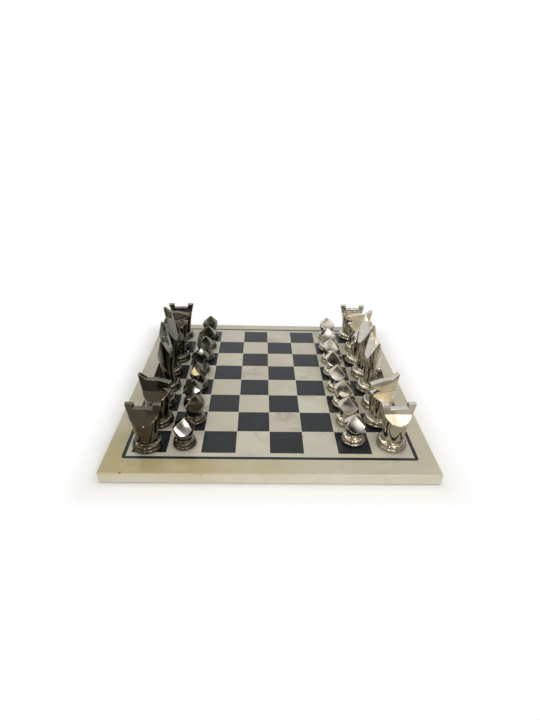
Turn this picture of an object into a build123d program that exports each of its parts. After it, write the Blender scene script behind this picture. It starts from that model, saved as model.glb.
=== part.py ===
"""Chess set of polished metal castings on an inlaid marble board. Millimetres, +Z up.

The origin lies under the board's middle, on the surface that the board stands on. +X points to the
nickel set's side of the board, and rank 1 is the row of squares furthest towards -Y.
"""

import os
from math import radians, tan

from build123d import *

os.makedirs("parts", exist_ok=True)

# Board: one marble slab with dark stone let into its top; the hand-laid squares lie a little to the
# left of the slab's middle and back from it, and the border line lies back with them
square = 40.0
ranks = 8
margin = 30.5
field_shift_x = -1.3
field_shift_y = 3.5
slab_thickness = 13.0
slab_corner_radius = 1.5
slab_edge_round = 0.8
inlay_gap = 0.05
tile_web = 0.3
tile_depth = 4.0
border_offset = 8.4
border_width = 4.3
border_depth = 3.0
border_corner_radius = 4.0

# Board feet: rubber discs set in shallow pockets under the slab
board_foot_diameter = 18.0
board_foot_thickness = 3.0
board_foot_height = 1.5
board_foot_inset = 24.0
board_foot_gap = 0.1

# What the chessmen share: a two-ring foot with a felt pad let into it, and softened edges
square_clearance = 2.0
pawn_foot_step = 4.0
pad_thickness = 1.0
pad_height = 0.5
pad_margin = 2.6
pad_gap = 0.05
lower_ring_height = 4.5
lower_ring_bulge = 1.3
upper_ring_height = 4.8
upper_ring_step = 0.9
upper_ring_middle = 2.0
collar = 0.8
edge_round = 0.8
knight_edge_round = 0.5

# Turned blanks: radius at the neck, at the waist and at the rim, and heights above the board
pawn_neck_radius = 9.0
pawn_waist_radius = 11.2
pawn_waist_height = 19.0
pawn_rim_radius = 17.0
pawn_height = 38.7

rook_neck_radius = 12.5
rook_waist_radius = 16.6
rook_waist_height = 42.0
rook_rim_radius = 20.5
rook_height = 60.0

knight_neck_radius = 12.0
knight_waist_radius = 16.2
knight_waist_height = 42.0
knight_rim_radius = 20.5
knight_height = 69.0

bishop_neck_radius = 9.8
bishop_waist_radius = 11.8
bishop_waist_height = 32.0
bishop_rim_radius = 17.0
bishop_height = 62.0

queen_neck_radius = 9.0
queen_waist_radius = 11.4
queen_waist_height = 48.5
queen_rim_radius = 19.0
queen_height = 82.4

king_neck_radius = 9.5
king_waist_radius = 12.9
king_waist_height = 54.8
king_rim_radius = 20.0
king_height = 91.0

# Pyramid heads of pawn and bishop: slopes of the side, front and back planes, and the tip's lead
pawn_side_angle = 61.0
pawn_front_angle = 52.0
pawn_back_angle = 45.0
pawn_tip_lead = 1.8
bishop_facet_angle = 71.0
tip_flat = 1.7

# Blade heads of rook and knight; drops are measured down from the ear, rises up from the crease
blade_crease_height = 47.2
blade_crease_half = 4.5
blade_top_half = 2.75
ledge_angle = 37.0
rook_gap_width = 22.0
rook_gap_depth = 6.0
rook_gap_round = 1.5
ear_back = 18.6
ear_dip_back = 9.8
ear_dip_drop = 6.4
ear_dip_round = 3.0
forehead_front = 4.0
forehead_drop = 5.4
forehead_round = 12.0
nose_drop = 7.8
mouth_drop = 11.0
mouth_corner_front = 4.4
mouth_corner_rise = 2.0
mouth_round = 1.2
chin_rise = 0.5

# Crowned wedge heads of queen and king
ridge_flat = 1.6
crown_flat = 1.8
crown_depth = 9.0
crown_middle_drop = 2.0
crown_valley_round = 2.4

# Where each chessman stands: its kind, its rank, and how far a hand has set it off and turned it
nickel_stands = {
    "rook_1": ("rook", 1, 5.9, -1.6, 3),
    "knight_1": ("knight", 2, -0.6, 3.5, 20),
    "bishop_1": ("bishop", 3, 3.6, 0.0, -10),
    "queen": ("queen", 4, 3.2, 0.6, 5),
    "king": ("king", 5, 2.2, -0.9, 8),
    "bishop_2": ("bishop", 6, 0.5, 0.4, 6),
    "knight_2": ("knight", 7, 6.5, 0.5, 9),
    "rook_2": ("rook", 8, 3.2, 6.0, -2),
    "pawn_1": ("pawn", 1, 0.8, 4.0, -3),
    "pawn_2": ("pawn", 2, -1.3, 1.0, -3),
    "pawn_3": ("pawn", 3, -0.5, 0.0, -8),
    "pawn_4": ("pawn", 4, -2.9, -0.8, -6),
    "pawn_5": ("pawn", 5, -3.0, 0.6, -8),
    "pawn_6": ("pawn", 6, -1.8, -0.2, -3),
    "pawn_7": ("pawn", 7, -1.1, -0.5, 6),
    "pawn_8": ("pawn", 8, 2.4, 0.0, -5),
}
gunmetal_stands = {
    "rook_1": ("rook", 1, -3.0, -7.3, -2),
    "knight_1": ("knight", 2, 1.6, -1.2, -9),
    "bishop_1": ("bishop", 3, -1.5, 0.5, -4),
    "queen": ("queen", 4, -1.9, -1.8, -1),
    "king": ("king", 5, -4.7, -0.5, -9.5),
    "bishop_2": ("bishop", 6, 0.0, 0.4, 12),
    "knight_2": ("knight", 7, -6.5, 0.0, -10),
    "rook_2": ("rook", 8, -5.2, 0.3, 2),
    "pawn_1": ("pawn", 1, -0.4, -4.6, -4),
    "pawn_2": ("pawn", 2, 5.8, 1.9, 5),
    "pawn_3": ("pawn", 3, -0.6, -2.5, 0),
    "pawn_4": ("pawn", 4, 0.3, 0.8, 75),
    "pawn_5": ("pawn", 5, -1.2, 3.4, 0),
    "pawn_6": ("pawn", 6, 1.5, 3.7, -3),
    "pawn_7": ("pawn", 7, 1.9, 0.0, 4),
    "pawn_8": ("pawn", 8, 1.2, 0.4, 0),
}

# Places that follow from the sizes above
field_half = square * ranks / 2
board_side = 2 * (field_half + margin)
slab_bottom = board_foot_height
board_top = slab_bottom + slab_thickness
tile_side = square - tile_web
border_middle = field_half + border_offset
foot_place = board_side / 2 - board_foot_inset
foot_places = [(x, y) for x in (-foot_place, foot_place) for y in (-foot_place, foot_place)]
piece_foot_radius = square / 2 - square_clearance
pawn_foot_radius = piece_foot_radius - pawn_foot_step
lower_ring_top = pad_height + lower_ring_height
foot_top = lower_ring_top + upper_ring_height
beyond = 3 * piece_foot_radius


def square_middle(file, rank):
    """Middle of a square; files and ranks are counted from 1 at the first corner."""
    halfway = (ranks + 1) / 2
    return (field_shift_x + (file - halfway) * square, field_shift_y + (rank - halfway) * square)


def dark_squares(rank):
    """Middles of a rank's dark squares, which start at the first corner and alternate."""
    files = [file for file in range(1, ranks + 1) if (file + rank) % 2 == 0]
    return [square_middle(file, rank) for file in files]


def border_outline(gap):
    """Sketch the frame of the border line, its outer corners rounded, grown by a gap all round."""
    outer = border_middle + border_width / 2 + gap
    inner = border_middle - border_width / 2 - gap
    with Locations((0, field_shift_y)):
        RectangleRounded(2 * outer, 2 * outer, border_corner_radius + gap)
        Rectangle(2 * inner, 2 * inner, mode=Mode.SUBTRACT)


def turn_blank(foot, neck, waist, waist_height, rim, height):
    """Revolve a chessman's blank about Z and sink the recess for its pad."""
    ring = foot - lower_ring_bulge
    ring_middle = pad_height + lower_ring_height / 2
    with BuildSketch(Plane.XZ) as profile:
        with BuildLine():
            base = Line((0, pad_height), (ring, pad_height))
            lower = ThreePointArc(base @ 1, (foot, ring_middle), (ring, lower_ring_top))
            upper_middle = (foot - upper_ring_step, lower_ring_top + upper_ring_middle)
            upper = ThreePointArc(lower @ 1, upper_middle, (neck + collar, foot_top))
            shoulder = Line(upper @ 1, (neck, foot_top + collar))
            stem = Spline(shoulder @ 1, (waist, waist_height), (rim, height))
            top = Line(stem @ 1, (0, height))
            Line(top @ 1, base @ 0)
        make_face()
    revolve(profile.sketch, axis=Axis.Z)
    with BuildSketch(Plane.XY.offset(pad_height)) as recess:
        Circle(foot - pad_margin)
    extrude(recess.sketch, amount=pad_thickness - pad_height + pad_gap, mode=Mode.SUBTRACT)


def cut_pyramid(height, side_angle, front_angle, back_angle, tip_lead):
    """Keep what lies under four planes that meet in a small flat tip, which may lead forwards."""
    tip_half = tip_flat / 2
    side_run = tip_half + height / tan(radians(side_angle))
    front_run = tip_half + height / tan(radians(front_angle))
    back_run = tip_half + height / tan(radians(back_angle))
    with BuildSketch(Plane.YZ) as across:
        with BuildLine():
            Polyline(
                (-side_run, 0),
                (side_run, 0),
                (tip_half, height),
                (-tip_half, height),
                close=True,
            )
        make_face()
    extrude(across.sketch, amount=beyond, both=True, mode=Mode.INTERSECT)
    with BuildSketch(Plane.XZ) as along:
        with BuildLine():
            Polyline(
                (tip_lead - back_run, 0),
                (tip_lead + front_run, 0),
                (tip_lead + tip_half, height),
                (tip_lead - tip_half, height),
                close=True,
            )
        make_face()
    extrude(along.sketch, amount=beyond, both=True, mode=Mode.INTERSECT)


def cut_blade(height):
    """Cut a sloping ledge on each side of an upright blade that lies along X."""
    ledge_drop = (beyond - blade_crease_half) * tan(radians(ledge_angle))
    with BuildSketch(Plane.YZ) as beside:
        with BuildLine():
            Polyline(
                (blade_crease_half, blade_crease_height),
                (blade_top_half, height),
                (beyond, height),
                (beyond, blade_crease_height - ledge_drop),
                close=True,
            )
        make_face()
        mirror(about=Plane.YZ)
    extrude(beside.sketch, amount=beyond, both=True, mode=Mode.SUBTRACT)


def cut_crown(waist, waist_height, rim, height):
    """Cut a wedge whose ridge lies along Y, then the two valleys between its three points."""
    ridge_half = ridge_flat / 2
    wedge_half = ridge_half + (waist - ridge_half) * height / (height - waist_height)
    with BuildSketch(Plane.XZ) as wedge:
        with BuildLine():
            Polyline(
                (-wedge_half, 0),
                (wedge_half, 0),
                (ridge_half, height),
                (-ridge_half, height),
                close=True,
            )
        make_face()
    extrude(wedge.sketch, amount=beyond, both=True, mode=Mode.INTERSECT)
    with BuildSketch(Plane.YZ) as valleys:
        with BuildLine():
            Polyline(
                (crown_flat - rim, height),
                (-rim / 2, height - crown_depth),
                (-crown_flat / 2, height - crown_middle_drop),
                (crown_flat / 2, height - crown_middle_drop),
                (rim / 2, height - crown_depth),
                (rim - crown_flat, height),
                close=True,
            )
        make_face()
        fillet(valleys.vertices().group_by(Axis.Y)[0], radius=crown_valley_round)
    extrude(valleys.sketch, amount=beyond, both=True, mode=Mode.SUBTRACT)


def soften_head(radius):
    """Round every edge that cutting the head has left above the foot."""
    above_foot = foot_top + 2 * collar
    fillet(edges().filter_by(lambda edge: edge.bounding_box().min.Z > above_foot), radius=radius)


with BuildPart() as pawn:
    turn_blank(
        pawn_foot_radius, pawn_neck_radius, pawn_waist_radius, pawn_waist_height,
        pawn_rim_radius, pawn_height,
    )
    cut_pyramid(
        pawn_height, pawn_side_angle, pawn_front_angle, pawn_back_angle, pawn_tip_lead,
    )
    soften_head(edge_round)

with BuildPart() as bishop:
    turn_blank(
        piece_foot_radius, bishop_neck_radius, bishop_waist_radius, bishop_waist_height,
        bishop_rim_radius, bishop_height,
    )
    cut_pyramid(
        bishop_height, bishop_facet_angle, bishop_facet_angle, bishop_facet_angle, 0,
    )
    soften_head(edge_round)

with BuildPart() as rook:
    turn_blank(
        piece_foot_radius, rook_neck_radius, rook_waist_radius, rook_waist_height,
        rook_rim_radius, rook_height,
    )
    cut_blade(rook_height)
    with BuildSketch(Plane.XZ) as battlement:
        with Locations((0, rook_height)):
            Rectangle(rook_gap_width, 2 * rook_gap_depth)
        fillet(battlement.vertices().group_by(Axis.Y)[0], radius=rook_gap_round)
    extrude(amount=beyond, both=True, mode=Mode.SUBTRACT)
    wall_under_gap = rook_height - rook_gap_depth - blade_crease_height
    soften_head(min(edge_round, wall_under_gap / 4))

with BuildPart() as knight:
    turn_blank(
        piece_foot_radius, knight_neck_radius, knight_waist_radius, knight_waist_height,
        knight_rim_radius, knight_height,
    )
    cut_blade(knight_height)
    with BuildSketch(Plane.XZ) as above_head:
        with BuildLine():
            Polyline(
                (-ear_back, knight_height),
                (-ear_dip_back, knight_height - ear_dip_drop),
                (forehead_front, knight_height - forehead_drop),
                (knight_rim_radius, knight_height - nose_drop),
                (knight_rim_radius, knight_height),
                close=True,
            )
        make_face()
        dip, forehead = above_head.vertices().sort_by(Axis.X)[1:3]
        fillet(forehead, radius=forehead_round)
        fillet(dip, radius=ear_dip_round)
    extrude(amount=beyond, both=True, mode=Mode.SUBTRACT)
    with BuildSketch(Plane.XZ) as mouth:
        with BuildLine():
            Polyline(
                (mouth_corner_front, blade_crease_height + mouth_corner_rise),
                (knight_rim_radius, knight_height - mouth_drop),
                (knight_rim_radius, blade_crease_height + chin_rise),
                close=True,
            )
        make_face()
        fillet(mouth.vertices().sort_by(Axis.X)[0], radius=mouth_round)
    extrude(amount=beyond, both=True, mode=Mode.SUBTRACT)
    soften_head(knight_edge_round)

with BuildPart() as queen:
    turn_blank(
        piece_foot_radius, queen_neck_radius, queen_waist_radius, queen_waist_height,
        queen_rim_radius, queen_height,
    )
    cut_crown(queen_waist_radius, queen_waist_height, queen_rim_radius, queen_height)
    soften_head(edge_round)

with BuildPart() as king:
    turn_blank(
        piece_foot_radius, king_neck_radius, king_waist_radius, king_waist_height,
        king_rim_radius, king_height,
    )
    cut_crown(king_waist_radius, king_waist_height, king_rim_radius, king_height)
    soften_head(edge_round)

with BuildPart() as pawn_pad:
    with BuildSketch():
        Circle(pawn_foot_radius - pad_margin - pad_gap)
    extrude(amount=pad_thickness)

with BuildPart() as piece_pad:
    with BuildSketch():
        Circle(piece_foot_radius - pad_margin - pad_gap)
    extrude(amount=pad_thickness)

castings = {
    "pawn": pawn,
    "rook": rook,
    "knight": knight,
    "bishop": bishop,
    "queen": queen,
    "king": king,
}
sets = (("nickel", ranks, ranks - 1, 180, nickel_stands), ("gunmetal", 1, 2, 0, gunmetal_stands))
for metal, piece_file, pawn_file, heading, stands in sets:
    for name, (kind, rank, shift_x, shift_y, turn) in stands.items():
        pad = pawn_pad if kind == "pawn" else piece_pad
        x, y = square_middle(pawn_file if kind == "pawn" else piece_file, rank)
        stand = (x + shift_x, y + shift_y, board_top)
        with BuildPart() as chessman:
            with Locations(Location(stand, (0, 0, heading + turn))):
                add(castings[kind].part)
                add(pad.part)
        chessman.part.label = f"{metal}_{name}"
        export_step(chessman.part, f"parts/{metal}_{name}.step")

with BuildPart() as slab:
    with BuildSketch(Plane.XY.offset(slab_bottom)):
        RectangleRounded(board_side, board_side, slab_corner_radius)
    extrude(amount=slab_thickness)
    fillet(slab.faces().sort_by(Axis.Z)[-1].edges(), radius=slab_edge_round)
    with BuildSketch(Plane.XY.offset(board_top)):
        for rank in range(1, ranks + 1):
            with Locations(*dark_squares(rank)):
                Rectangle(tile_side + 2 * inlay_gap, tile_side + 2 * inlay_gap)
    extrude(amount=-tile_depth, mode=Mode.SUBTRACT)
    with BuildSketch(Plane.XY.offset(board_top)):
        border_outline(inlay_gap)
    extrude(amount=-border_depth, mode=Mode.SUBTRACT)
    with BuildSketch(Plane.XY.offset(slab_bottom)):
        with Locations(*foot_places):
            Circle(board_foot_diameter / 2 + board_foot_gap)
    extrude(amount=board_foot_thickness - board_foot_height, mode=Mode.SUBTRACT)
slab.part.label = "board_slab"
export_step(slab.part, "parts/board_slab.step")

for rank in range(1, ranks + 1):
    with BuildPart() as tiles:
        with BuildSketch(Plane.XY.offset(board_top)):
            with Locations(*dark_squares(rank)):
                Rectangle(tile_side, tile_side)
        extrude(amount=-tile_depth)
    tiles.part.label = f"dark_squares_rank_{rank}"
    export_step(tiles.part, f"parts/dark_squares_rank_{rank}.step")

with BuildPart() as border:
    with BuildSketch(Plane.XY.offset(board_top)):
        border_outline(0)
    extrude(amount=-border_depth)
border.part.label = "border_inlay"
export_step(border.part, "parts/border_inlay.step")

for number, place in enumerate(foot_places, start=1):
    with BuildPart() as board_foot:
        with BuildSketch():
            with Locations(place):
                Circle(board_foot_diameter / 2)
        extrude(amount=board_foot_thickness)
    board_foot.part.label = f"board_foot_{number}"
    export_step(board_foot.part, f"parts/board_foot_{number}.step")
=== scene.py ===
# %% [markdown]
# A chess set of polished metal castings on an inlaid marble board.
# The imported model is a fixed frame: every board piece and chessman is already where it belongs, in
# metres. This lesson adds a camera, a plain studio, and the finishes that make stone look like
# stone and metal look hand polished.

# %% Load the frame
import math

import bpy
import numpy as np
from mathutils import Matrix, Vector


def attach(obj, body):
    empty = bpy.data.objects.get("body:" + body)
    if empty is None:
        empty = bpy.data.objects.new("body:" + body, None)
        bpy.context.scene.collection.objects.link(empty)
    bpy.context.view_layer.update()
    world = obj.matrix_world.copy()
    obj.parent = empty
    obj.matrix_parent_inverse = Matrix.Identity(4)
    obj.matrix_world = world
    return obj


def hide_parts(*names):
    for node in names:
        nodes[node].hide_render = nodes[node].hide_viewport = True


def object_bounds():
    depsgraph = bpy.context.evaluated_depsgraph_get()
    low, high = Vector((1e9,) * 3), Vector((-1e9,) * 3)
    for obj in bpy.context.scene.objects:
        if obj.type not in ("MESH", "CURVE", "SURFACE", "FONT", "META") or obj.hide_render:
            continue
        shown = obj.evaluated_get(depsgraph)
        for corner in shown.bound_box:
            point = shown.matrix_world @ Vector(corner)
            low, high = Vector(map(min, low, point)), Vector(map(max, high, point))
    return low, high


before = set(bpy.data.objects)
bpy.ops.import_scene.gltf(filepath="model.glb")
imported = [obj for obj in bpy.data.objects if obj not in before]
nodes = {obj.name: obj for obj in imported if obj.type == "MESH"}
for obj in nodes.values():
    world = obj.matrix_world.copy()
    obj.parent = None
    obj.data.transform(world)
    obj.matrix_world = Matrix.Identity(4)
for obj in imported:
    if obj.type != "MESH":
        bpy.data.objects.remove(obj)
cad_box = [[float(value) for value in corner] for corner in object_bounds()]
scene = bpy.context.scene
scene.view_settings.view_transform = "Standard"

# %% [markdown]
# The squares were laid by hand, a little to the left of the slab's middle and back from it. The
# camera, the tiles and the stone's pattern are all placed from the middle of the squares, so that
# point is named once. The square's side and the half width of the field go with it.

# %% The playing field
field_middle = Vector((-0.0013, 0.0035, 0))
square = 0.04
field_half = 4 * square
print("field from", field_middle.x - field_half, "to", field_middle.x + field_half)

# %% [markdown]
# The camera stands a little above the near edge of the board and looks slightly down along it.
# A camera can be aimed with a constraint, but a hand-held picture also has a small roll. So the
# three axes of the camera are worked out here and put in one matrix.

# %% Camera
camera_place = field_middle + Vector((-0.01435, -0.5575, 0.3648))
camera_elevation = math.radians(29.579)
camera_azimuth = math.radians(1.638)
camera_roll = math.radians(1.577)

level = math.cos(camera_elevation)
forward = Vector((
    math.sin(camera_azimuth) * level,
    math.cos(camera_azimuth) * level,
    -math.sin(camera_elevation),
))
side = Vector((math.cos(camera_azimuth), -math.sin(camera_azimuth), 0))
above = side.cross(forward)
rolled_side = side * math.cos(camera_roll) + above * math.sin(camera_roll)
rolled_above = above * math.cos(camera_roll) - side * math.sin(camera_roll)

lens = bpy.data.cameras.new("camera")
lens.sensor_width = 36
lens.lens = 22.343
lens.clip_start = 0.01
camera = bpy.data.objects.new("camera", lens)
scene.collection.objects.link(camera)
axes = Matrix((rolled_side, rolled_above, -forward)).transposed()
camera.matrix_world = Matrix.Translation(camera_place) @ axes.to_4x4()
scene.camera = camera
print("camera at", tuple(round(value, 4) for value in camera_place))

# %% [markdown]
# Every finish below is a small net of shader nodes. These helpers keep the code short. One adds a
# node and sets its properties and input values, one joins an output to an input, and one does
# either: it links a socket or sets a plain value.


# %% Helpers: add and join nodes
def add_node(tree, kind, inputs=(), **properties):
    """Add a node, set its properties, then its input values by name or number."""
    node = tree.nodes.new(kind)
    for name, value in properties.items():
        setattr(node, name, value)
    for name, value in dict(inputs).items():
        node.inputs[name].default_value = value
    return node


def join(tree, source, target):
    """Link an output socket to an input socket."""
    tree.links.new(source, target)


def feed(tree, value, socket):
    """Link a socket to an input, or set the input to a plain value."""
    if isinstance(value, bpy.types.NodeSocket):
        join(tree, value, socket)
    else:
        socket.default_value = value


print("helpers: add_node, join, feed")

# %% [markdown]
# Most of a pattern is arithmetic on sockets: a sum, a range mapped to another, a mix of two
# colours. Each of these gets one line here, and gives the socket that holds its result.


# %% Helpers: arithmetic on sockets
def math_node(tree, operation, *values):
    """Add a Math node whose inputs are sockets or plain numbers, and give its output."""
    node = add_node(tree, "ShaderNodeMath", operation=operation)
    for socket, value in zip(node.inputs, values):
        feed(tree, value, socket)
    return node.outputs[0]


def span(tree, value, low, high, to_low=0, to_high=1):
    """Map a value from one range to another, softly at both ends."""
    node = add_node(tree, "ShaderNodeMapRange", interpolation_type="SMOOTHSTEP")
    parts = {"Value": value, "From Min": low, "From Max": high, "To Min": to_low, "To Max": to_high}
    for name, part in parts.items():
        feed(tree, part, node.inputs[name])
    return node.outputs["Result"]


def feed_colour(tree, colour, socket):
    """Link a colour socket to an input, or set the input to three numbers."""
    feed(tree, colour if isinstance(colour, bpy.types.NodeSocket) else (*colour, 1), socket)


def mix_colour(tree, factor, first, second):
    """Mix two colours, each a socket or three numbers, by a factor socket."""
    mix = add_node(tree, "ShaderNodeMix", data_type="RGBA")
    join(tree, factor, mix.inputs[0])
    feed_colour(tree, first, mix.inputs[6])
    feed_colour(tree, second, mix.inputs[7])
    return mix.outputs[2]


print("helpers: math_node, span, feed_colour, mix_colour")

# %% [markdown]
# A pattern starts from a place on the object. Object coordinates stay with a piece when it moves,
# so all patterns read those. From the place come a noise, or the distance to a fixed point.


# %% Helpers: places and noise
def object_place(tree):
    """Give the Object coordinates as one vector socket."""
    return add_node(tree, "ShaderNodeTexCoord").outputs["Object"]


def split_place(tree, place):
    """Split a place socket into its three numbers: across, along and up."""
    split = add_node(tree, "ShaderNodeSeparateXYZ")
    join(tree, place, split.inputs[0])
    return split.outputs


def distance_from(tree, place, point):
    """Give the distance of a place socket from a fixed point."""
    node = add_node(tree, "ShaderNodeVectorMath", {1: point}, operation="DISTANCE")
    join(tree, place, node.inputs[0])
    return node.outputs["Value"]


def noise_at(tree, place, scale, **inputs):
    """Give a noise read at a place socket; its scale is a socket or a number."""
    names = {name.capitalize(): value for name, value in inputs.items()}
    node = add_node(tree, "ShaderNodeTexNoise", names)
    join(tree, place, node.inputs["Vector"])
    feed(tree, scale, node.inputs["Scale"])
    return node.outputs["Fac"]


print("helpers: object_place, split_place, distance_from, noise_at")

# %% [markdown]
# A material starts empty, with only its output. A stage piece, such as the floor, is a mesh made
# from points and faces, and the flat ones are a single rectangle. A material that is plain light
# needs only one node. All of these are needed more than once, so they get a helper too.


# %% Helpers: materials and stage pieces
def new_material(name):
    """Make an empty node material and give it, its tree and its output node."""
    material = bpy.data.materials.new(name)
    material.use_nodes = True
    material.node_tree.nodes.clear()
    output = add_node(material.node_tree, "ShaderNodeOutputMaterial")
    return material, material.node_tree, output


def shine(tree, output, colour):
    """Finish a material as plain light of one colour, a socket or three numbers."""
    glow = add_node(tree, "ShaderNodeEmission", {"Strength": 1})
    feed_colour(tree, colour, glow.inputs["Color"])
    join(tree, glow.outputs[0], output.inputs["Surface"])


def new_mesh_object(name, vertices, faces, material):
    """Make a mesh object from points and faces, at the origin."""
    mesh = bpy.data.meshes.new(name)
    mesh.from_pydata(vertices, [], faces)
    mesh.materials.append(material)
    thing = bpy.data.objects.new(name, mesh)
    scene.collection.objects.link(thing)
    return thing


def lay_sheet(name, material, height, left, right, near, far):
    """Lay a flat rectangle at a height."""
    corners = [(left, near), (right, near), (right, far), (left, far)]
    points = [(*corner, height) for corner in corners]
    return new_mesh_object(name, points, [(0, 1, 2, 3)], material)


# %% [markdown]
# The background is plain white. The world shows white to the camera and in reflections, and gives
# a softer grey light to everything else, so the white wall does not flood the stone with light.
# More light on the object would whiten the wall too, but it would bleach the marble with it.

# %% White background
fill_light = 0.40

world = bpy.data.worlds.new("white_background")
world.use_nodes = True
scene.world = world
tree = world.node_tree
tree.nodes.clear()
output = add_node(tree, "ShaderNodeOutputWorld")
background = add_node(tree, "ShaderNodeBackground", {"Color": (1, 1, 1, 1)})
path = add_node(tree, "ShaderNodeLightPath")
seen = math_node(tree, "MAXIMUM", path.outputs["Is Camera Ray"], path.outputs["Is Glossy Ray"])
seen = math_node(tree, "MAXIMUM", seen, path.outputs["Is Transmission Ray"])
join(tree, span(tree, seen, 0, 1, fill_light, 1), background.inputs["Strength"])
join(tree, background.outputs[0], output.inputs["Surface"])
print("world light:", fill_light)

# %% [markdown]
# The floor is a pale sheet. Close to the board it takes the board's soft shadow; a thumb's length
# out it has faded to the same white as the background, so no horizon line shows behind the set. The
# distance from the board's outline sets the fade, so the shadow has round corners.

# %% Floor
floor_half = 6.0
floor_drop = 0.0002
shadow_reach = 0.045

material, tree, output = new_material("pale_floor")
paper = add_node(
    tree, "ShaderNodeBsdfPrincipled",
    {"Base Color": (0.9, 0.9, 0.9, 1), "Roughness": 0.85, "Specular IOR Level": 0.1},
)
white = add_node(tree, "ShaderNodeEmission", {"Color": (1, 1, 1, 1), "Strength": 1})
sides = split_place(tree, object_place(tree))
beyond = add_node(tree, "ShaderNodeCombineXYZ")
for axis in range(2):
    from_middle = math_node(tree, "ABSOLUTE", sides[axis])
    past_edge = math_node(tree, "SUBTRACT", from_middle, cad_box[1][axis])
    join(tree, math_node(tree, "MAXIMUM", past_edge, 0), beyond.inputs[axis])
outward = span(tree, distance_from(tree, beyond.outputs[0], (0, 0, 0)), 0, shadow_reach)
path = add_node(tree, "ShaderNodeLightPath")
seen = math_node(tree, "MAXIMUM", path.outputs["Is Camera Ray"], path.outputs["Is Glossy Ray"])
blend = add_node(tree, "ShaderNodeMixShader")
join(tree, math_node(tree, "MULTIPLY", outward, seen), blend.inputs[0])
join(tree, paper.outputs[0], blend.inputs[1])
join(tree, white.outputs[0], blend.inputs[2])
join(tree, blend.outputs[0], output.inputs["Surface"])

floor = lay_sheet(
    "floor", material, -floor_drop,
    left=-floor_half, right=floor_half, near=-floor_half, far=floor_half,
)
print("floor:", 2 * floor_half, "m wide")

# %% [markdown]
# Polished metal is drawn by what it mirrors. A photographer stands dark screens round a shiny
# object so that its edges and faces come out from the white. Here one tall curved brown screen
# stands round the set and leans over it on the near side; it is open at the far side, where the
# stone mirrors the white. The screen is a part of a dome, built point by point, and only
# reflections see it: it casts no shadow and takes no light away.


# %% Helpers: the screen's shape and where it shows
def dome(radius, half_width, low, high_at):
    """Points and faces of a part of a dome; angles in degrees, turned from the near side."""
    columns, rows = 60, 10
    vertices, faces = [], []
    for column in range(columns + 1):
        share = 2 * column / columns - 1
        turn = math.radians(share * half_width - 90)
        for row in range(rows + 1):
            rise = math.radians(low + (high_at(share) - low) * row / rows)
            flat = radius * math.cos(rise)
            point = (flat * math.cos(turn), flat * math.sin(turn), radius * math.sin(rise))
            vertices.append(point)
    for column in range(columns):
        for row in range(rows):
            first = column * (rows + 1) + row
            faces.append((first, first + rows + 1, first + rows + 2, first + 1))
    return vertices, faces


def mirror_only(thing):
    """Show a stage piece in reflections and nowhere else."""
    for ray in ("camera", "diffuse", "shadow", "transmission"):
        setattr(thing, f"visible_{ray}", False)


print("stage pieces so far:", floor.name)

# %% [markdown]
# The screen's brown is blotchy, from nearly black to beige with a few pale patches, and it turns a
# plain lighter brown high up. Four soft pale glows are painted on it, the highest of them with a
# golden rim. A lamp itself would show in the metal as a hard white block, and a polished casting
# shows light that fades from white to brown. Two of the glows have a small bright core, which the
# rounded feet show as sparks.

# %% Dark screen: brown paint and soft glows
dark_brown, beige_brown = (0.022, 0.020, 0.018), (0.27, 0.225, 0.17)
pale_patch, upper_brown = (1.5, 1.45, 1.36), (0.50, 0.44, 0.33)
# the middle of a glow, the radius of its full strength, the radius where it ends, and its colour
glows = (
    ((0.76, -0.66, 1.36), 0.30, 0.85, (1.25, 1.02, 0.60)),
    ((0.70, -0.62, 1.42), 0.10, 0.45, (2.5, 2.4, 2.1)),
    ((0.22, -1.36, 1.00), 0.05, 0.36, (1.45, 1.40, 1.32)),
    ((-0.32, -1.54, 0.66), 0.02, 0.22, (4.2, 4.3, 4.4)),
    ((-0.32, -1.54, 0.66), 0.04, 0.10, (30, 30, 30)),
    ((0.60, -1.48, 0.60), 0.06, 0.42, (2.5, 2.55, 2.6)),
    ((0.60, -1.48, 0.60), 0.04, 0.10, (20, 20, 20)),
)

screen_paint, tree, output = new_material("brown_screen")
place = object_place(tree)
across, _, height = split_place(tree, place)
blotch = noise_at(tree, place, 2.9, detail=2, roughness=0.5)
tint = mix_colour(tree, span(tree, blotch, 0.40, 0.62), dark_brown, beige_brown)
tint = mix_colour(tree, span(tree, blotch, 0.56, 0.70), tint, pale_patch)
tint = mix_colour(tree, span(tree, height, 0.85, 1.4), tint, upper_brown)
for middle, full, end, colour in glows:
    strength = span(tree, distance_from(tree, place, middle), full, end, 1, 0)
    tint = mix_colour(tree, strength, tint, colour)
print("screen paint:", len(glows), "glows and cores")

# %% [markdown]
# On the castings a fine line of light runs along the rounded edges. A thin bright thing draws it,
# because a rounded edge mirrors a whole fan of directions and squeezes it into a line. Here that is
# a golden strip in two lengths, at one height on the screen. Then the screen is put up.

# %% Dark screen: golden strip and shape
strip_height = 1.10
strip_lengths = ((-1.45, -0.78), (0.1, 0.65))
strip_end_fade = 0.15
strip_gold = (7, 6.0, 3.5)
screen_radius = 1.7
screen_half_width = 142
screen_foot = 0.4

off_strip = math_node(tree, "ABSOLUTE", math_node(tree, "SUBTRACT", height, strip_height))
strip = span(tree, off_strip, 0.010, 0.07, 1, 0)
for left, right in strip_lengths:
    after_left = span(tree, across, left, left + strip_end_fade)
    before_right = span(tree, across, right - strip_end_fade, right, 1, 0)
    lit = math_node(tree, "MULTIPLY", after_left, before_right)
    tint = mix_colour(tree, math_node(tree, "MULTIPLY", strip, lit), tint, strip_gold)
shine(tree, output, tint)


def screen_top(share):
    """How high the screen rises, in degrees: full height in front, lower towards both ends."""
    return 84 - 46 * max(0, (abs(share) - 0.6) / 0.4)


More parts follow.
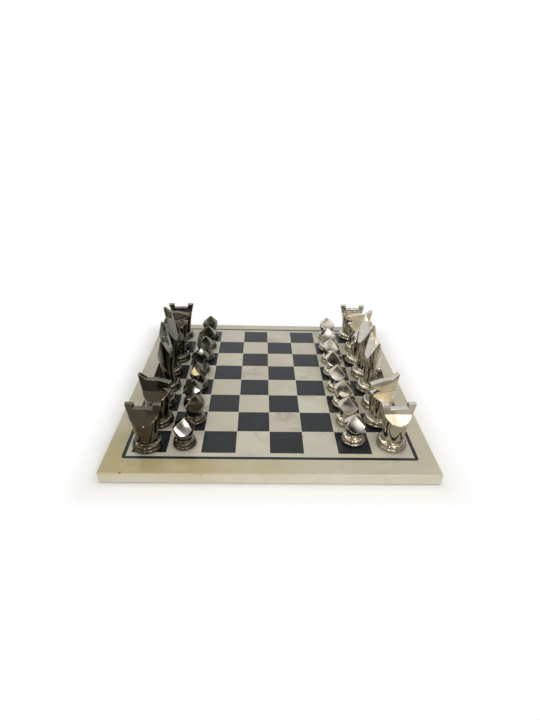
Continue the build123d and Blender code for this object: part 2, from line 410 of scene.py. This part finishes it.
shell = dome(screen_radius, screen_half_width, screen_foot, screen_top)
screen = new_mesh_object("brown_screen", *shell, screen_paint)
mirror_only(screen)
print("screen:", len(screen.data.polygons), "panels")

# %% [markdown]
# The upright blades of the rooks and knights lean back, so they mirror the floor in front of the
# board. A mat lies there, brown before the darker set and beige before the brighter one, paler
# further out. A golden mat lies to the right, for the knight that is turned that way. They too are
# seen only in the metal.

# %% Mats for the blades to mirror
mat_height = 0.0005
brown_near, brown_far = (0.19, 0.185, 0.17), (0.52, 0.44, 0.33)
beige_near, beige_far = (0.42, 0.38, 0.31), (0.74, 0.69, 0.60)
golden = (0.79, 0.69, 0.49)

front_paint, tree, output = new_material("front_mat")
across, along, _ = split_place(tree, object_place(tree))
rightward = span(tree, across, -0.08, 0.1)
outward = span(tree, along, -0.27, -0.35)
brown = mix_colour(tree, outward, brown_near, brown_far)
beige = mix_colour(tree, outward, beige_near, beige_far)
shine(tree, output, mix_colour(tree, rightward, brown, beige))
front_mat = lay_sheet(
    "front_mat", front_paint, mat_height, left=-1.2, right=1.2, near=-1.3, far=-0.2,
)
mirror_only(front_mat)

side_paint, tree, output = new_material("side_mat")
shine(tree, output, golden)
side_mat = lay_sheet(
    "side_mat", side_paint, mat_height, left=0.195, right=0.8, near=-0.2, far=-0.02,
)
mirror_only(side_mat)

# %% [markdown]
# Five soft lamps light the set: a warm one above the right front corner, two tall narrow ones
# behind the camera, like panes of a window, and two wide dim ones, overhead and in front, that keep
# the shadows open. Only the overhead lamp shows in reflections. The others light the stone, and the
# metal shows the glows on the screen in their place.


# %% Lamps
def soft_lamp(name, place, width, height, power, colour, mirrored=False):
    """Hang a rectangular lamp at a place, facing the middle of the board."""
    data = bpy.data.lights.new(name, "AREA")
    data.shape = "RECTANGLE"
    data.size = width
    data.size_y = height
    data.energy = power
    data.color = colour
    lamp = bpy.data.objects.new(name, data)
    scene.collection.objects.link(lamp)
    lamp.location = place
    lamp.rotation_euler = (-Vector(place)).to_track_quat("-Z", "Y").to_euler()
    lamp.visible_glossy = mirrored


warm, daylight = (1, 0.92, 0.74), (0.96, 0.98, 1)
ceiling, sky = (1, 0.97, 0.91), (0.98, 0.99, 1)
soft_lamp("warm_lamp", (0.62, -0.40, 1.15), width=0.42, height=0.42, power=3.0, colour=warm)
soft_lamp("left_pane", (-0.34, -1.25, 0.50), width=0.15, height=0.6, power=1.9, colour=daylight)
soft_lamp("right_pane", (0.36, -1.25, 0.50), width=0.18, height=0.6, power=2.8, colour=daylight)
soft_lamp(
    "top_lamp", (-0.2, 0.3, 1.6), width=1.4, height=1.4, power=8.6, colour=ceiling, mirrored=True,
)
soft_lamp("front_lamp", (0.1, -1.4, 0.45), width=1.0, height=0.6, power=6.2, colour=sky)
print("lamps:", [light.name for light in bpy.data.lights])

# %% [markdown]
# Some effects belong to more than one finish, so each is a node group: built once, then placed in
# a material with its own values. A group gets named inputs and outputs before its nodes.


# %% Helper: a new node group
def new_group(name, inputs, outputs, kind="ShaderNodeTree"):
    """Make a node group with named sockets; give it, its input node and its output node."""
    group = bpy.data.node_groups.new(name, kind)
    for in_out, sockets in (("INPUT", inputs), ("OUTPUT", outputs)):
        for label, value_kind in sockets.items():
            socket_type = f"NodeSocket{value_kind}"
            group.interface.new_socket(name=label, in_out=in_out, socket_type=socket_type)
    return group, add_node(group, "NodeGroupInput"), add_node(group, "NodeGroupOutput")


print("groups so far:", len(bpy.data.node_groups))

# %% [markdown]
# Edges are where marble wears and chips, and where a rounded rim of metal catches a line of light:
# the finishes paint wear and a painted highlight along them. This group marks the edges. A Bevel node
# gives the normal as it would be if the edges were rounder; where that bends away from the true
# normal, there is an edge. A groove bends it too, so an Ambient Occlusion node takes out every place
# that is shut in. The group also gives the rounder normal itself, for the metal, whose edges the
# wheel has softened.

# %% Node group: edges, for wear and painted highlights
edges, given, output = new_group(
    "edge_wear_and_highlight", {"Reach": "Float"}, {"Edges": "Float", "Normal": "Vector"},
)
rounder = add_node(edges, "ShaderNodeBevel", samples=4)
join(edges, given.outputs["Reach"], rounder.inputs["Radius"])
alike = add_node(edges, "ShaderNodeVectorMath", operation="DOT_PRODUCT")
join(edges, rounder.outputs[0], alike.inputs[0])
join(edges, add_node(edges, "ShaderNodeNewGeometry").outputs["Normal"], alike.inputs[1])
bent = math_node(edges, "SUBTRACT", 1, alike.outputs["Value"])
shut_in = add_node(edges, "ShaderNodeAmbientOcclusion", samples=4, only_local=True)
join(edges, math_node(edges, "MULTIPLY", given.outputs["Reach"], 2), shut_in.inputs["Distance"])
proud = span(edges, shut_in.outputs["AO"], 0.75, 0.97)
found = math_node(edges, "MULTIPLY", span(edges, bent, 0.02, 0.10), proud)
join(edges, found, output.inputs["Edges"])
join(edges, rounder.outputs[0], output.inputs["Normal"])
print("group:", edges.name)

# %% [markdown]
# The squares of the board are cut one by one, so each has its own tone and its own piece of the
# veins. This group works out which square a point lies in from its Object coordinates. It gives a
# mask for the playing field, a tone for each square, and a moved place to read a pattern at. The
# same stone runs on to the border line, so the outermost squares are taken to reach that far.

# %% Node group: squares of the field
border_half = 0.1684
first_square, last_square = 0.5, 7.5

cells, _, output = new_group(
    "board_squares", {}, {"Field": "Float", "Tone": "Float", "Place": "Vector"},
)
place = object_place(cells)
sides = split_place(cells, place)
numbers = add_node(cells, "ShaderNodeCombineXYZ")
inside = []
for axis in range(2):
    out = math_node(cells, "SUBTRACT", sides[axis], field_middle[axis])
    counted = math_node(cells, "DIVIDE", math_node(cells, "ADD", out, field_half), square)
    kept = math_node(cells, "MINIMUM", counted, last_square)
    kept = math_node(cells, "MAXIMUM", kept, first_square)
    join(cells, math_node(cells, "FLOOR", kept), numbers.inputs[axis])
    inside.append(math_node(cells, "LESS_THAN", math_node(cells, "ABSOLUTE", out), border_half))
field = math_node(cells, "MULTIPLY", *inside)
chance = add_node(cells, "ShaderNodeTexWhiteNoise", noise_dimensions="3D")
join(cells, numbers.outputs[0], chance.inputs["Vector"])
shift = add_node(cells, "ShaderNodeVectorMath", operation="SCALE")
join(cells, chance.outputs["Color"], shift.inputs[0])
join(cells, field, shift.inputs["Scale"])
moved = add_node(cells, "ShaderNodeVectorMath", operation="ADD")
join(cells, place, moved.inputs[0])
join(cells, shift.outputs[0], moved.inputs[1])
join(cells, field, output.inputs["Field"])
join(cells, chance.outputs["Value"], output.inputs["Tone"])
join(cells, moved.outputs[0], output.inputs["Place"])
print("group:", cells.name)

# %% [markdown]
# Stone is cloudy, with thin veins and fine grains. The clouds are plain noise. A vein is where a
# second noise crosses its middle value, which draws a wandering line, and a third noise breaks the
# line up so that only short smudged streaks are left. Marble and dark stone use the same group.

# %% Node group: stone
grain_scale = 900

stone, given, output = new_group(
    "stone_pattern",
    {"Place": "Vector", "Cloud Size": "Float", "Vein Size": "Float", "Vein Width": "Float"},
    {"Cloud": "Float", "Vein": "Float", "Grain": "Float"},
)


def stone_noise(scale, detail, distortion):
    """A noise read at the group's place; its scale is a socket or a number."""
    place = given.outputs["Place"]
    return noise_at(stone, place, scale, detail=detail, roughness=0.55, distortion=distortion)


line = stone_noise(given.outputs["Vein Size"], 4, 1.1)
away = math_node(stone, "ABSOLUTE", math_node(stone, "SUBTRACT", line, 0.5))
vein = span(stone, away, 0, given.outputs["Vein Width"], 1, 0)
breaks = stone_noise(math_node(stone, "MULTIPLY", given.outputs["Vein Size"], 1.6), 2, 0)
streaks = math_node(stone, "MULTIPLY", vein, span(stone, breaks, 0.52, 0.68))
join(stone, stone_noise(given.outputs["Cloud Size"], 5, 0.4), output.inputs["Cloud"])
join(stone, streaks, output.inputs["Vein"])
join(stone, stone_noise(grain_scale, 2, 0), output.inputs["Grain"])
print("group:", stone.name)

# %% [markdown]
# The slab is one piece of cream marble, stained yellow round a place on its near left edge; its
# light squares are greyer stone. A picture of marble could be laid on it, but a pattern made from
# noise has no seam and no end, and it goes on down the slab's side. First come the tones: cream,
# the stain over it, which is weaker on the upright sides, and grey inside the border line.

# %% Finish: marble, its tones
cream_light, cream_deep = (0.54, 0.51, 0.415), (0.48, 0.445, 0.345)
grey_light, grey_deep = (0.56, 0.53, 0.435), (0.47, 0.44, 0.355)
grey_square = (0.50, 0.46, 0.37)
stain_yellow = (0.395, 0.315, 0.13)
stain_middle = (-0.12, -0.19, 0.01)

marble, tree, output = new_material("marble")
where = add_node(tree, "ShaderNodeGroup", node_tree=cells)
pattern = add_node(
    tree, "ShaderNodeGroup", {"Cloud Size": 14, "Vein Size": 16, "Vein Width": 0.06}, node_tree=stone,
)
join(tree, where.outputs["Place"], pattern.inputs["Place"])
place = object_place(tree)
_, _, height = split_place(tree, place)
clouds = span(tree, pattern.outputs["Cloud"], 0.35, 0.68)
cream = mix_colour(tree, clouds, cream_light, cream_deep)
yellowed = span(tree, distance_from(tree, place, stain_middle), 0.02, 0.21, 0.97, 0.09)
cloudy = span(tree, pattern.outputs["Cloud"], 0.3, 0.7, 0.7, 1)
on_top = span(tree, height, 0.0125, 0.0142, 0.25, 1)
yellowed = math_node(tree, "MULTIPLY", math_node(tree, "MULTIPLY", yellowed, cloudy), on_top)
cream = mix_colour(tree, yellowed, cream, stain_yellow)
grey = mix_colour(tree, clouds, grey_light, grey_deep)
grey = mix_colour(tree, span(tree, where.outputs["Tone"], 0, 1, 0, 0.5), grey, grey_square)
base = mix_colour(tree, where.outputs["Field"], cream, grey)
print("tones of", marble.name, "mixed")

# %% [markdown]
# Over the tones lie grey streaks, stronger on the squares, a few brown specks and a fine grain.
# The arris is paler, partly from wear and partly a painted highlight, with one small dirty chip near
# its left end. The shine is a low roughness that grows a little on the veins.

# %% Finish: marble, its marks and shine
vein_grey = (0.245, 0.23, 0.195)
speck_brown = (0.16, 0.10, 0.05)
grain_grey = (0.38, 0.35, 0.28)
arris_pale = (0.66, 0.63, 0.54)
arris_reach = 0.0016
chip_brown = (0.10, 0.075, 0.04)
chip_middle = (-0.1654, -0.1895, 0.0143)

strength = span(tree, where.outputs["Field"], 0, 1, 0.12, 0.68)
veined = math_node(tree, "MULTIPLY", pattern.outputs["Vein"], strength)
base = mix_colour(tree, veined, base, vein_grey)
specks = span(tree, noise_at(tree, place, 240, detail=1), 0.765, 0.80, 0, 0.8)
base = mix_colour(tree, specks, base, speck_brown)
grains = span(tree, pattern.outputs["Grain"], 0.3, 0.7, 0, 0.12)
base = mix_colour(tree, grains, base, grain_grey)
# the paler arris is partly wear and partly a painted highlight of the rounded edge
edge_node = add_node(tree, "ShaderNodeGroup", {"Reach": arris_reach}, node_tree=edges)
arris_wear_and_highlight = math_node(tree, "MULTIPLY", edge_node.outputs["Edges"], span(tree, clouds, 0, 1, 0.35, 0.75))
base = mix_colour(tree, arris_wear_and_highlight, base, arris_pale)
chipped = span(tree, distance_from(tree, place, chip_middle), 0.0006, 0.0019, 0.9, 0)
base = mix_colour(tree, chipped, base, chip_brown)
surface = add_node(tree, "ShaderNodeBsdfPrincipled", {"IOR": 1.5})
join(tree, base, surface.inputs["Base Color"])
join(tree, span(tree, pattern.outputs["Vein"], 0, 1, 0.2, 0.36), surface.inputs["Roughness"])
join(tree, surface.outputs[0], output.inputs["Surface"])
print("finish:", marble.name)

# %% [markdown]
# The dark squares and the border line are a blue-black stone with faint paler clouds, polished to
# the same height as the marble. One dark colour would look painted on, so the clouds and a tone for
# each square come from the same groups as the marble's. It mirrors a little less than marble does.

# %% Finish: dark stone
night, slate = (0.009, 0.012, 0.0155), (0.015, 0.020, 0.025)
slate_square = (0.016, 0.020, 0.0235)
vein_dim = (0.08, 0.08, 0.08)

dark_stone, tree, output = new_material("dark_stone")
where = add_node(tree, "ShaderNodeGroup", node_tree=cells)
pattern = add_node(
    tree, "ShaderNodeGroup", {"Cloud Size": 30, "Vein Size": 22, "Vein Width": 0.02}, node_tree=stone,
)
join(tree, where.outputs["Place"], pattern.inputs["Place"])
base = mix_colour(tree, span(tree, pattern.outputs["Cloud"], 0.35, 0.7), night, slate)
base = mix_colour(tree, span(tree, where.outputs["Tone"], 0, 1, 0, 0.45), base, slate_square)
veined = math_node(tree, "MULTIPLY", pattern.outputs["Vein"], 0.15)
base = mix_colour(tree, veined, base, vein_dim)
surface = add_node(tree, "ShaderNodeBsdfPrincipled", {"IOR": 1.5, "Specular IOR Level": 0.24})
join(tree, base, surface.inputs["Base Color"])
join(tree, span(tree, pattern.outputs["Grain"], 0.3, 0.7, 0.18, 0.28), surface.inputs["Roughness"])
join(tree, surface.outputs[0], output.inputs["Surface"])
print("finish:", dark_stone.name)

# %% [markdown]
# The chessmen are cast and then polished by hand on a wheel, so their flat faces are not quite
# flat: what they mirror bends in slow waves. This group gives the height of those waves, and a
# mask of faint smears and fine wiping marks for the roughness. Nickel and gunmetal share it.

# %% Node group: hand polish
polish, given, output = new_group(
    "hand_polish",
    {"Wave Size": "Float", "Smear Size": "Float"}, {"Waves": "Float", "Smears": "Float"},
)
place = object_place(polish)
waves = noise_at(polish, place, given.outputs["Wave Size"], detail=0)
smears = noise_at(
    polish, place, given.outputs["Smear Size"], detail=6, roughness=0.6, distortion=0.5,
)
join(polish, waves, output.inputs["Waves"])
join(polish, span(polish, smears, 0.42, 0.72), output.inputs["Smears"])
print("group:", polish.name)

# %% [markdown]
# Both metals are a fully metallic shader: only the colour of their mirror image differs. Bright
# nickel is a warm silver; gunmetal is nickel darkened to a brown-black. Along the edges both get a
# painted highlight, a paler colour, pale gold on the gunmetal, for the line of light a rounded rim
# catches. The waves could be modelled, but they are far too shallow to see in the outline, so a
# bump is enough.

# %% Finishes: nickel and gunmetal
wave_size = 32
wave_height = 0.0038
smear_size = 130
edge_reach = 0.001


def polished_metal(name, clear, smeared, edge, edge_share):
    """A mirror-bright metal: polishing waves, faint smears and painted highlights on the edges."""
    metal, tree, output = new_material(name)
    worked = add_node(
        tree, "ShaderNodeGroup", {"Wave Size": wave_size, "Smear Size": smear_size}, node_tree=polish,
    )
    edge_node = add_node(tree, "ShaderNodeGroup", {"Reach": edge_reach}, node_tree=edges)
    surface = add_node(tree, "ShaderNodeBsdfPrincipled", {"Metallic": 1})
    base = mix_colour(tree, worked.outputs["Smears"], clear, smeared)
    # painted highlight: the edges get a paler colour for the light a rounded rim catches
    bright = math_node(tree, "MULTIPLY", edge_node.outputs["Edges"], edge_share)
    base = mix_colour(tree, bright, base, edge)
    join(tree, base, surface.inputs["Base Color"])
    rough = span(tree, worked.outputs["Smears"], 0, 1, 0.06, 0.14)
    join(tree, rough, surface.inputs["Roughness"])
    bump = add_node(tree, "ShaderNodeBump", {"Strength": 1, "Distance": wave_height})
    join(tree, worked.outputs["Waves"], bump.inputs["Height"])
    join(tree, edge_node.outputs["Normal"], bump.inputs["Normal"])
    join(tree, bump.outputs[0], surface.inputs["Normal"])
    join(tree, surface.outputs[0], output.inputs["Surface"])
    return metal


# each metal's edge colour is a painted highlight along its rims
nickel = polished_metal(
    "nickel", clear=(0.56, 0.535, 0.485), smeared=(0.48, 0.455, 0.40),
    edge=(0.86, 0.82, 0.74), edge_share=0.8,
)
gunmetal = polished_metal(
    "gunmetal", clear=(0.131, 0.124, 0.110), smeared=(0.103, 0.097, 0.084),
    edge=(0.96, 0.86, 0.60), edge_share=1.0,
)
print("finishes:", nickel.name, gunmetal.name)

# %% [markdown]
# Under each chessman lies a felt pad, and under the board four rubber discs. Felt is dull, with a
# tangle of fibres; rubber is dull too, but smooth, with a fine moulded grain. Both are seen only
# when a piece is lifted or the board turned over, so one noise serves for colour and relief.


# %% Finishes: felt and rubber
def dull_finish(name, low, high, scale, depth, roughness):
    """A matt finish: two close colours and a fine grain that also raises the surface."""
    finish, tree, output = new_material(name)
    grain = noise_at(tree, object_place(tree), scale, detail=3, roughness=0.7)
    surface = add_node(tree, "ShaderNodeBsdfPrincipled", {"Roughness": roughness})
    base = mix_colour(tree, span(tree, grain, 0.3, 0.7), low, high)
    join(tree, base, surface.inputs["Base Color"])
    bump = add_node(tree, "ShaderNodeBump", {"Strength": 0.6, "Distance": depth})
    join(tree, grain, bump.inputs["Height"])
    join(tree, bump.outputs[0], surface.inputs["Normal"])
    join(tree, surface.outputs[0], output.inputs["Surface"])
    return finish


felt = dull_finish(
    "felt", low=(0.012, 0.018, 0.014), high=(0.03, 0.045, 0.035),
    scale=2600, depth=0.0003, roughness=0.95,
)
rubber = dull_finish(
    "rubber", low=(0.018, 0.018, 0.018), high=(0.035, 0.035, 0.034),
    scale=1200, depth=0.0001, roughness=0.6,
)
print("finishes:", felt.name, rubber.name)

# %% [markdown]
# The thirty-two dark squares repeat one tile, so Geometry Nodes lay them. The tree gets a named
# input for each size; changing one changes every tile. First a grid gives the middle of all the
# squares, and every second one is marked as dark, starting at the left front corner.

# %% Geometry nodes: where the dark squares lie
tile_sizes = {
    "Square": square, "Tile Side": 0.0397, "Depth": 0.004, "Edge Ease": 0.0002, "Board Top": 0.0145,
}
tile_inputs = {name: "Float" for name in tile_sizes}
tile_inputs.update({"Field Middle": "Vector", "Stone": "Material"})
tiles, given, output = new_group(
    "inlaid_tiles", tile_inputs, {"Mesh": "Geometry"}, kind="GeometryNodeTree",
)

grid = add_node(tiles, "GeometryNodeMeshGrid", {"Vertices X": 8, "Vertices Y": 8})
spread = math_node(tiles, "MULTIPLY", given.outputs["Square"], 7)
join(tiles, spread, grid.inputs["Size X"])
join(tiles, spread, grid.inputs["Size Y"])
index = add_node(tiles, "GeometryNodeInputIndex").outputs[0]
column = math_node(tiles, "FLOOR", math_node(tiles, "DIVIDE", index, 8))
both = math_node(tiles, "ADD", column, math_node(tiles, "MODULO", index, 8))
is_dark = math_node(tiles, "LESS_THAN", math_node(tiles, "MODULO", both, 2), 0.5)
print("inputs:", list(tile_inputs))

# %% [markdown]
# One tile is a flat block. Its top is drawn up by a hair and pulled in, which leaves a fine slope
# round the edge: the line of light there is what makes an inlay look set in and not printed on.

# %% Geometry nodes: one tile with an eased edge
ease = given.outputs["Edge Ease"]
side_length = given.outputs["Tile Side"]
body_depth = math_node(tiles, "SUBTRACT", given.outputs["Depth"], ease)
size = add_node(tiles, "ShaderNodeCombineXYZ")
for socket, value in zip(size.inputs, (side_length, side_length, body_depth)):
    join(tiles, value, socket)
block = add_node(tiles, "GeometryNodeMeshCube")
join(tiles, size.outputs[0], block.inputs["Size"])
facing = add_node(tiles, "ShaderNodeSeparateXYZ")
join(tiles, add_node(tiles, "GeometryNodeInputNormal").outputs[0], facing.inputs[0])
raised = add_node(tiles, "GeometryNodeExtrudeMesh", mode="FACES")
join(tiles, block.outputs["Mesh"], raised.inputs["Mesh"])
join(tiles, math_node(tiles, "GREATER_THAN", facing.outputs[2], 0.5), raised.inputs["Selection"])
join(tiles, ease, raised.inputs["Offset Scale"])
eased = add_node(tiles, "GeometryNodeScaleElements", domain="FACE")
join(tiles, raised.outputs["Mesh"], eased.inputs["Geometry"])
join(tiles, raised.outputs["Top"], eased.inputs["Selection"])
pulled_in = math_node(tiles, "DIVIDE", math_node(tiles, "MULTIPLY", ease, 2), side_length)
join(tiles, math_node(tiles, "SUBTRACT", 1, pulled_in), eased.inputs["Scale"])
print("tile:", tile_sizes["Tile Side"], "m wide,", tile_sizes["Depth"], "m deep")

# %% [markdown]
# The tile is lowered so that its top lies level with the marble, put on every dark square, and
# made real with its finish, because instances alone are not kept when the model is exported.

# %% Geometry nodes: lay the tiles
below = math_node(tiles, "ADD", math_node(tiles, "MULTIPLY", body_depth, 0.5), ease)
lift = add_node(tiles, "ShaderNodeCombineXYZ")
join(tiles, math_node(tiles, "SUBTRACT", given.outputs["Board Top"], below), lift.inputs[2])
shift = add_node(tiles, "ShaderNodeVectorMath", operation="ADD")
join(tiles, lift.outputs[0], shift.inputs[0])
join(tiles, given.outputs["Field Middle"], shift.inputs[1])
set_in = add_node(tiles, "GeometryNodeTransform")
join(tiles, eased.outputs[0], set_in.inputs["Geometry"])
join(tiles, shift.outputs[0], set_in.inputs["Translation"])
laid = add_node(tiles, "GeometryNodeInstanceOnPoints")
join(tiles, grid.outputs["Mesh"], laid.inputs["Points"])
join(tiles, is_dark, laid.inputs["Selection"])
join(tiles, set_in.outputs[0], laid.inputs["Instance"])
real = add_node(tiles, "GeometryNodeRealizeInstances")
join(tiles, laid.outputs[0], real.inputs[0])
dressed = add_node(tiles, "GeometryNodeSetMaterial")
join(tiles, real.outputs[0], dressed.inputs["Geometry"])
join(tiles, given.outputs["Stone"], dressed.inputs["Material"])
join(tiles, dressed.outputs[0], output.inputs["Mesh"])
print("tree:", tiles.name, "with", len(tiles.nodes), "nodes")

# %% [markdown]
# The tree runs on an empty object, with its inputs set by their identifiers, and the result becomes
# a plain mesh. That mesh rides on the board and stands for the eight rows of tiles in the frame.

# %% Inlaid tiles as a plain mesh
seed = bpy.data.objects.new("tile_seed", bpy.data.meshes.new("tile_seed"))
scene.collection.objects.link(seed)
modifier = seed.modifiers.new("inlaid_tiles", "NODES")
modifier.node_group = tiles
values = {**tile_sizes, "Field Middle": field_middle, "Stone": dark_stone}
for socket in tiles.interface.items_tree:
    if socket.in_out == "INPUT":
        modifier[socket.identifier] = values[socket.name]
evaluated = seed.evaluated_get(bpy.context.evaluated_depsgraph_get())
mesh = bpy.data.meshes.new_from_object(evaluated)
mesh.name = "dark_tiles"
bpy.data.objects.remove(seed)
dark_tiles = bpy.data.objects.new("dark_tiles", mesh)
scene.collection.objects.link(dark_tiles)
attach(dark_tiles, "board")
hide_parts(*[f"dark_squares_rank_{rank}" for rank in range(1, 9)])
print("tiles:", len(mesh.polygons), "faces,", len(mesh.materials), "material")

# %% [markdown]
# The slab, the border line and the feet already have their shape, so they keep their solids and
# only get their finish.


# %% Dress the board
def dress(node, *finishes):
    """Give a node of the frame its finishes, one slot each."""
    node.data.materials.clear()
    for finish in finishes:
        node.data.materials.append(finish)


dress(nodes["board_slab"], marble)
dress(nodes["border_inlay"], dark_stone)
for number in range(1, 5):
    dress(nodes[f"board_foot_{number}"], rubber)
print("board dressed")

# %% [markdown]
# A chessman's solid holds two parts, the casting and the felt pad let into its foot, so it gets two
# finishes. The pad is the low, narrow part: all its points lie under the foot's rim and inside it.
# The faces could be picked by hand, but a rule finds them on all thirty-two chessmen alike.

# %% Dress the chessmen
pad_thickness = 0.001
height_slack = 1e-5
radius_slack = 2e-5


def pad_faces(mesh):
    """Say for each triangle whether it belongs to the felt pad."""
    points = np.empty(3 * len(mesh.vertices), np.float32)
    mesh.vertices.foreach_get("co", points)
    points = points.reshape(-1, 3)
    bottom = points[:, 2].min()
    pad_points = points[points[:, 2] < bottom + height_slack]
    middle = (pad_points[:, :2].min(0) + pad_points[:, :2].max(0)) / 2
    pad_radius = np.linalg.norm(pad_points[:, :2] - middle, axis=1).max()
    low = points[:, 2] < bottom + pad_thickness + height_slack
    near = np.linalg.norm(points[:, :2] - middle, axis=1) < pad_radius + radius_slack
    corners = np.empty(len(mesh.loops), np.int32)
    mesh.loops.foreach_get("vertex_index", corners)
    return (low & near)[corners].reshape(-1, 3).all(1)


chessmen = [name for name in nodes if name.startswith(("nickel_", "gunmetal_"))]
felt_faces = 0
for name in chessmen:
    node = nodes[name]
    dress(node, nickel if name.startswith("nickel_") else gunmetal, felt)
    is_pad = pad_faces(node.data)
    node.data.polygons.foreach_set("material_index", is_pad.astype(np.int32))
    felt_faces += int(is_pad.sum())
print("chessmen:", len(chessmen), "felt faces:", felt_faces)
